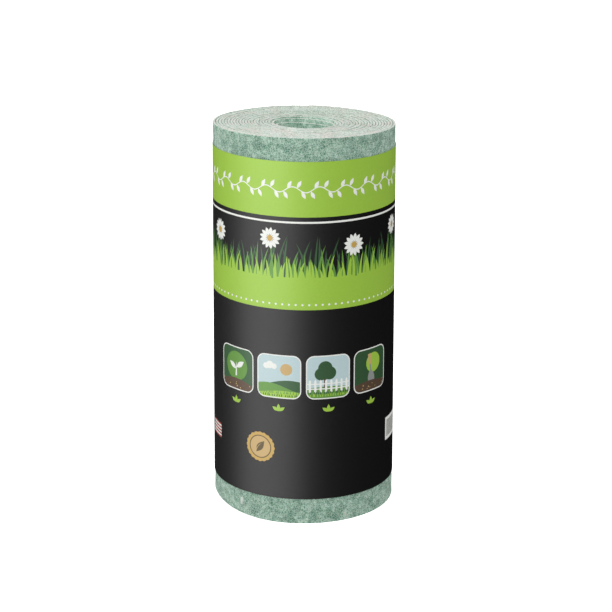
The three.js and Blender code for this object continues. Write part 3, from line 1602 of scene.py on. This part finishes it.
@dataclass
class WrapLabel:
    """The printed sheet that goes once round the roll and laps over itself at the back."""

    inner_radius: float
    bottom: float
    top: float
    paper_thickness: float = 0.22
    lap_length: float = 20.0
    lap_gap: float = 0.04
    lap_ramp: float = 7.0
    # The sheet sits a little askew: how far the lower edge stands above its place all round, and how much
    # further at the left.
    lower_rise: float = 1.1
    lower_left: float = 0.8
    # The same for the upper edge, and how much higher it is at both sides than at the front.
    upper_rise: float = -0.6
    upper_left: float = 0.5
    upper_bow: float = 1.9
    # Columns and rows of corners that bend the sheet round the roll.
    column_count: int = 216
    row_count: int = 34

    @property
    def face_radius(self) -> float:
        """Radius of the printed face, mm."""
        return self.inner_radius + self.paper_thickness

    @property
    def sheet_length(self) -> float:
        """Length of the sheet round the roll, its lap included, mm."""
        return 2 * math.pi * self.face_radius + self.lap_length

    def place(self, across: float, radius: float, up: float) -> Vector:
        """Puts a place of the flat sheet on the roll, before the columns are cut flat.

        Args:
            across: mm from the front's middle.
            radius: the sheet's radius there where it doesn't lap, mm.
            up: mm above the label's lower edge.

        Returns:
            The place in metres.
        """
        lap_start = self.sheet_length / 2 - self.lap_length
        climb = smooth_step((across - lap_start + self.lap_ramp) / self.lap_ramp)
        lifted = radius + climb * (self.paper_thickness + self.lap_gap)
        angle = across / self.face_radius
        side = math.sin(angle)
        lower = self.lower_rise - self.lower_left * side
        upper = self.upper_rise - self.upper_left * side + self.upper_bow * side * side
        share = up / (self.top - self.bottom)
        return Vector(around(lifted, angle, self.bottom + up + lower + (upper - lower) * share))

    def wrap(self, across: float, radius: float, up: float) -> Vector:
        """Puts a place of the flat sheet on the roll, on the flat column that it lies in.

        Args:
            across: mm from the front's middle.
            radius: the sheet's radius, mm.
            up: mm above the label's lower edge.

        Returns:
            The place in metres.
        """
        column_width = self.sheet_length / self.column_count
        position = (across + self.sheet_length / 2) / column_width
        rounding = 1e-6
        column = min(self.column_count - 1, max(0, math.floor(position + rounding)))
        left = column * column_width - self.sheet_length / 2
        share = position - column
        return self.place(left, radius, up).lerp(self.place(left + column_width, radius, up), share)

    def build(self) -> bpy.types.Object:
        """Makes the label with its print as one closed sheet.

        Returns:
            The dressed object.
        """
        tall = self.top - self.bottom
        art = LabelArtwork(self.sheet_length, tall, self.sheet_length - self.lap_length)
        art.compose()
        flat, triangles, inks = self.cut_print(art, tall)
        draft = MeshDraft()
        normals: list[Triple] = []
        slots = {ink: number for number, ink in enumerate(Ink)}
        for across, up in flat:
            draft.corners.append(tuple(self.wrap(across, self.face_radius, up)))
            normals.append(outward(across / self.face_radius))
        for corners, ink in zip(triangles, inks):
            draft.add_face(corners, slots[ink])
        self.add_back(draft, normals, flat, tall, slots[Ink.PAPER])
        piece = draft.make("wrap_label", [SatinPrintedPaper(ink).build() for ink in Ink])
        piece.data.normals_split_custom_set_from_vertices(normals)
        return piece

    def cut_print(self, art: LabelArtwork, tall: float) -> tuple[list[Point], list[tuple], list[Ink]]:
        """Cuts the flat print into triangles that each have one ink.

        Args:
            art: the print's shapes.
            tall: the label's height, mm.

        Returns:
            Flat corners, triangles and each triangle's ink.
        """
        corners: list[Vector] = []
        outlines: list[tuple[int, ...]] = []
        for shape in art.shapes:
            start = len(corners)
            corners += [Vector(point) for point in shape.outline]
            outlines.append(tuple(range(start, len(corners))))
        edges: list[tuple[int, int]] = []
        for column in range(self.column_count + 1):
            across = self.sheet_length * (column / self.column_count - 0.5)
            start = len(corners)
            corners += [Vector((across, tall * row / self.row_count)) for row in range(self.row_count + 1)]
            edges += [(start + row, start + row + 1) for row in range(self.row_count)]
        every_triangle, merge_distance = 0, 1e-4
        places, _, faces, _, _, shapes_over = geometry.delaunay_2d_cdt(
            corners, edges, outlines, every_triangle, merge_distance, True
        )
        inks = []
        for numbers in shapes_over:
            over = set(numbers)
            seen = [i for i in numbers if art.shapes[i].window < 0 or art.shapes[i].window in over]
            inks.append(art.shapes[max(seen)].ink if seen else Ink.CHARCOAL)
        return [(place.x, place.y) for place in places], [tuple(face) for face in faces], inks

    def add_back(
        self, draft: MeshDraft, normals: list[Triple], flat: list[Point], tall: float, slot: int
    ) -> None:
        """Adds the sheet's inner face and its four cut edges.

        Args:
            draft: the mesh being made, with the printed face in it.
            normals: one normal a corner, added to here.
            flat: flat places of the printed face's corners.
            tall: the label's height, mm.
            slot: number of the bare paper.
        """
        half = self.sheet_length / 2
        near = 1e-3
        on_bottom = sorted((i for i, (_, v) in enumerate(flat) if v < near), key=lambda i: flat[i][0])
        on_top = sorted((i for i, (_, v) in enumerate(flat) if v > tall - near), key=lambda i: flat[i][0])
        on_left = sorted((i for i, (u, _) in enumerate(flat) if u < near - half), key=lambda i: flat[i][1])
        on_right = sorted((i for i, (u, _) in enumerate(flat) if u > half - near), key=lambda i: flat[i][1])
        inner = {}
        for index in on_bottom + on_top:
            across, up = flat[index]
            inner[index] = len(draft.corners)
            draft.corners.append(tuple(self.wrap(across, self.inner_radius, up)))
            x, y, _ = outward(across / self.face_radius)
            normals.append((-x, -y, 0.0))
        for low, high in zip(on_bottom, on_bottom[1:]):
            draft.add_face((high, low, inner[low], inner[high]), slot)
        for low, high in zip(on_top, on_top[1:]):
            draft.add_face((low, high, inner[high], inner[low]), slot)
        for low, low_next, high, high_next in zip(on_bottom, on_bottom[1:], on_top, on_top[1:]):
            draft.add_face((inner[low_next], inner[low], inner[high], inner[high_next]), slot)
        draft.add_face((inner[on_left[0]], *on_left, inner[on_left[-1]]), slot)
        draft.add_face((inner[on_right[-1]], *reversed(on_right), inner[on_right[0]]), slot)


@dataclass
class Softbox:
    """A rectangular studio light that faces the roll. Azimuth is degrees from the camera's side towards +X,
    elevation is degrees above level, and sizes are metres."""

    name: str
    azimuth: float
    elevation: float
    distance: float
    wide: float
    tall: float
    watts: float
    only_gloss: bool = False
    target: Triple = (0.0, 0.0, 0.23)

    def build(self) -> bpy.types.Object:
        """Makes the light.

        Returns:
            The light's object.
        """
        light = bpy.data.lights.new(self.name, "AREA")
        light.shape = "RECTANGLE"
        light.size = self.wide
        light.size_y = self.tall
        light.energy = self.watts
        lamp = bpy.data.objects.new(self.name, light)
        azimuth, elevation = math.radians(self.azimuth), math.radians(self.elevation)
        direction = Vector(
            (
                math.sin(azimuth) * math.cos(elevation),
                -math.cos(azimuth) * math.cos(elevation),
                math.sin(elevation),
            )
        )
        lamp.location = Vector(self.target) + direction * self.distance
        lamp.rotation_euler = direction.to_track_quat("Z", "Y").to_euler()
        lamp.visible_diffuse = not self.only_gloss
        bpy.context.scene.collection.objects.link(lamp)
        return lamp


@dataclass
class Studio:
    """A plain pale floor in a white room with soft lights, and the camera at the photograph's angle."""

    floor_radius: float = 14.0
    floor_low: str = "f8f8f8"
    floor_high: str = "fbfbfb"
    # The floor is a lit sweep: it glows so much that the roll's shadow doesn't show on it.
    floor_glow: float = 0.85

    # Brightness of the room level with the roll, how much the ceiling adds, how fast that fades from the
    # zenith, and what the room shows in a gloss.
    room_light: float = 0.635
    ceiling_light: float = 1.15
    ceiling_fade: float = 3.0
    room_gloss: float = 0.004
    room_white: float = 1.05

    # The camera, in millimetres and degrees, from the outline of the roll in the photograph.
    camera_x: float = 1.1
    camera_y: float = -1968.0
    camera_z: float = 810.5
    pitch_down: float = 16.31
    roll: float = -0.15
    lens_mm: float = 100.8
    sensor_mm: float = 36.0

    def build(self) -> None:
        """Makes the floor, the room's light, the lamps and the camera."""
        self.make_floor()
        self.make_room()
        self.make_lamps()
        self.make_camera()
        bpy.context.scene.view_settings.view_transform = "Standard"

    def make_floor(self) -> None:
        """Makes the floor. Only the camera sees it, so it neither darkens nor lights the roll from below."""
        points = 96
        radius = self.floor_radius / MM
        draft = MeshDraft([around(radius, 2 * math.pi * index / points, 0) for index in range(points)])
        draft.add_face(tuple(range(points)))
        material, tree = empty_material("matt_white_sweep")
        place = add_node(tree, "ShaderNodeTexCoord").outputs["Object"]
        tone = add_node(tree, "ShaderNodeTexNoise", inputs={"Vector": place, "Scale": 3.0})
        colour = add_node(
            tree,
            "ShaderNodeMix",
            {"data_type": "RGBA"},
            {
                MIX_FACTOR: tone.outputs[0],
                MIX_A: linear_colour(self.floor_low),
                MIX_B: linear_colour(self.floor_high),
            },
        )
        shader = add_node(
            tree,
            "ShaderNodeBsdfPrincipled",
            inputs={
                "Base Color": colour.outputs[MIX_RESULT],
                "Roughness": 0.9,
                "Specular IOR Level": 0.1,
                "Emission Color": (1.0, 1.0, 1.0, 1.0),
                "Emission Strength": self.floor_glow,
            },
        )
        add_node(tree, "ShaderNodeOutputMaterial", inputs={"Surface": shader.outputs[0]})
        floor = draft.make("studio_floor", [material])
        floor.visible_diffuse = False
        floor.visible_glossy = False
        floor.visible_shadow = False

    def make_lamps(self) -> None:
        """Makes the key light, and two that show in the label's gloss alone: its highlight and one behind."""
        key = Softbox("key_softbox", azimuth=-38, elevation=34, distance=1.5, wide=1.1, tall=1.1, watts=6)
        card = Softbox("gloss_card", azimuth=-44.5, elevation=-8, distance=1.8, wide=2.5, tall=2.6, watts=59)
        back = Softbox("back_softbox", azimuth=180, elevation=-4, distance=2.6, wide=1.0, tall=1.8, watts=6)
        card.only_gloss = back.only_gloss = True
        for softbox in (key, card, back):
            softbox.build()

    def make_room(self) -> None:
        """Lights the scene evenly, and more from above. The camera sees it white, and gloss shows it dim."""
        world = bpy.data.worlds.new("white_room")
        world.use_nodes = True
        tree = world.node_tree
        tree.nodes.clear()
        ray = add_node(tree, "ShaderNodeLightPath")
        direction = add_node(tree, "ShaderNodeTexCoord").outputs["Generated"]
        height = add_node(tree, "ShaderNodeSeparateXYZ", inputs={0: direction}).outputs["Z"]
        above = add_node(tree, "ShaderNodeMath", {"operation": "MAXIMUM"}, {0: height, 1: 0.0})
        fade = add_node(
            tree, "ShaderNodeMath", {"operation": "POWER"}, {0: above.outputs[0], 1: self.ceiling_fade}
        )
        room = add_node(
            tree,
            "ShaderNodeMath",
            {"operation": "MULTIPLY_ADD"},
            {0: fade.outputs[0], 1: self.ceiling_light, 2: self.room_light},
        )
        lit = add_node(
            tree,
            "ShaderNodeMix",
            {"data_type": "FLOAT"},
            {
                MIX_FACTOR: ray.outputs["Is Glossy Ray"],
                MIX_NUMBER_A: room.outputs[0],
                MIX_NUMBER_B: self.room_gloss,
            },
        )
        seen = add_node(
            tree,
            "ShaderNodeMix",
            {"data_type": "FLOAT"},
            {
                MIX_FACTOR: ray.outputs["Is Camera Ray"],
                MIX_NUMBER_A: lit.outputs[0],
                MIX_NUMBER_B: self.room_white,
            },
        )
        background = add_node(
            tree,
            "ShaderNodeBackground",
            inputs={"Color": (1.0, 1.0, 1.0, 1.0), "Strength": seen.outputs[0]},
        )
        add_node(tree, "ShaderNodeOutputWorld", inputs={"Surface": background.outputs[0]})
        bpy.context.scene.world = world

    def make_camera(self) -> None:
        """Makes the camera and sets it as the scene's."""
        data = bpy.data.cameras.new("photo_camera")
        data.lens = self.lens_mm
        data.sensor_width = self.sensor_mm
        camera = bpy.data.objects.new("photo_camera", data)
        camera.location = (self.camera_x * MM, self.camera_y * MM, self.camera_z * MM)
        camera.rotation_euler = (math.radians(90 - self.pitch_down), math.radians(self.roll), 0)
        bpy.context.scene.collection.objects.link(camera)
        bpy.context.scene.camera = camera


def dress(piece: bpy.types.Object, slot: str, *nodes: str) -> None:
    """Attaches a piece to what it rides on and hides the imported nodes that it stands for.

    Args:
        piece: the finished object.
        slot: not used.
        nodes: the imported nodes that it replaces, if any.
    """
    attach(piece, BODY)
    if nodes:
        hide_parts(*nodes)
    LOG.info("%s: %d faces", piece.name, len(piece.data.polygons))


def main() -> None:
    """Builds the roll's pieces and the studio in order."""
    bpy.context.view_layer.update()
    _, mat_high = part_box(MAT_NODE)
    label_low, label_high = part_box(LABEL_NODE)
    mat = WoundMat(
        height=mat_high[2] / MM,
        outer_radius=mat_high[0] / MM,
        label_bottom=label_low[2] / MM,
        label_top=label_high[2] / MM,
    )
    dress(mat.build(), MAT_SLOT, MAT_NODE)
    dress(LooseFibres(mat).build(), MAT_SLOT)
    dress(SeedFlecks(mat).build(), MAT_SLOT)
    label = WrapLabel(mat.outer_radius + LABEL_CLEARANCE, mat.label_bottom, mat.label_top)
    dress(label.build(), LABEL_SLOT, LABEL_NODE)
    Studio().build()


if __name__ == "__main__":
    logging.basicConfig(level=logging.INFO)
    main()
